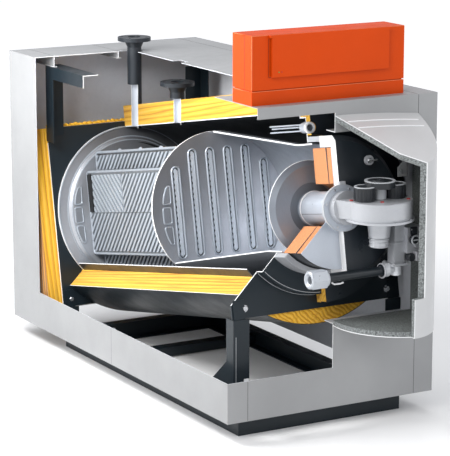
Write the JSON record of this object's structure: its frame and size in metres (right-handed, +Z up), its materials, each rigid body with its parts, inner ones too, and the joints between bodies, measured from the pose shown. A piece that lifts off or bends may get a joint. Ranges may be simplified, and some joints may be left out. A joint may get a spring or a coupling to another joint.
{
  "type": "industrial boiler",
  "caption": "Floor-standing condensing gas boiler cut open to show burner, chamber, heat exchanger, insulation and casing.",
  "frame": {"origin": "on the floor, under the middle of the whole boiler with its hood and flue connection", "axes": "+X to the right of the burner front, +Y to the rear, +Z up; the burner hood and the control unit face -Y"},
  "size_m": [0.9, 2.2059, 1.484],
  "materials": {
    "casing_sheet": "light grey powder coat, semi-matt",
    "control_orange": "orange moulded plastic, fine grain",
    "frame_paint": "blue-black paint, satin",
    "mineral_wool": "yellow mineral wool blanket",
    "dark_cover": "near-black sheet, satin",
    "stainless": "bluish stainless steel, lightly brushed",
    "burner_steel": "bright stainless steel",
    "refractory": "peach refractory concrete, fine grain",
    "white_fibre": "white ceramic fibre",
    "fan_metal": "cast aluminium, matt",
    "dark_plastic": "black plastic",
    "valve_metal": "cast aluminium, light grey",
    "gas_steel": "zinc-plated steel",
    "pipe_steel": "dark primed steel",
    "hood_paint": "light grey powder coat, semi-matt",
    "hood_foam": "grey speckled acoustic foam"
  },
  "bodies": {
    "boiler": {"base_cross_member": "frame_paint", "base_frame": "frame_paint", "burner_disc": "stainless", "burner_dome": "burner_steel", "burner_tube": "burner_steel", "casing_front": "casing_sheet", "casing_left_front": "casing_sheet", "casing_left_rear": "casing_sheet", "casing_rear": "casing_sheet", "casing_right_front": "casing_sheet", "casing_right_rear": "casing_sheet", "casing_top_edge": "casing_sheet", "casing_top_left": "casing_sheet", "casing_top_middle": "casing_sheet", "casing_top_right": "casing_sheet", "chamber_cone": "stainless", "control_base": "control_orange", "control_housing": "control_orange", "door_collar": "burner_steel", "door_dish": "dark_cover", "door_frame": "frame_paint", "door_handle": "burner_steel", "door_insulation": "white_fibre", "door_plate": "burner_steel", "door_refractory": "refractory", "exchanger_pockets": "stainless", "exchanger_side_pockets": "stainless", "fan_housing": "fan_metal", "fan_inlet": "fan_metal", "fan_motor": "dark_plastic", "flow_pipe": "pipe_steel", "flue_collar": "stainless", "front_cover": "dark_cover", "front_insulation": "mineral_wool", "front_plate": "frame_paint", "gas_pipe": "gas_steel", "gas_union": "gas_steel", "gas_valve": "valve_metal", "hood_foam": "hood_foam", "hood_sheet": "hood_paint", "insulation_lower": "mineral_wool", "insulation_skin": "frame_paint", "insulation_upper": "mineral_wool", "leg_brackets": "frame_paint", "legs_front": "frame_paint", "legs_rear": "frame_paint", "mixing_duct": "fan_metal", "rear_disc": "stainless", "rear_insulation": "mineral_wool", "rear_plate": "frame_paint", "return_pipe": "pipe_steel", "sensor_pocket": "burner_steel", "shell_lower": "frame_paint", "shell_upper": "frame_paint", "shoulder_rails": "frame_paint", "slot_plate": "stainless", "uprights": "frame_paint"},
    "flap": {"control_flap": "control_orange"}
  },
  "joints": [
    {"name": "control_flap", "type": "hinge", "parent": "boiler", "child": "flap", "pos_m": [0, -0.764, 1.479], "axis": [-1, 0, 0], "range_deg": [0, 100]}
  ]
}
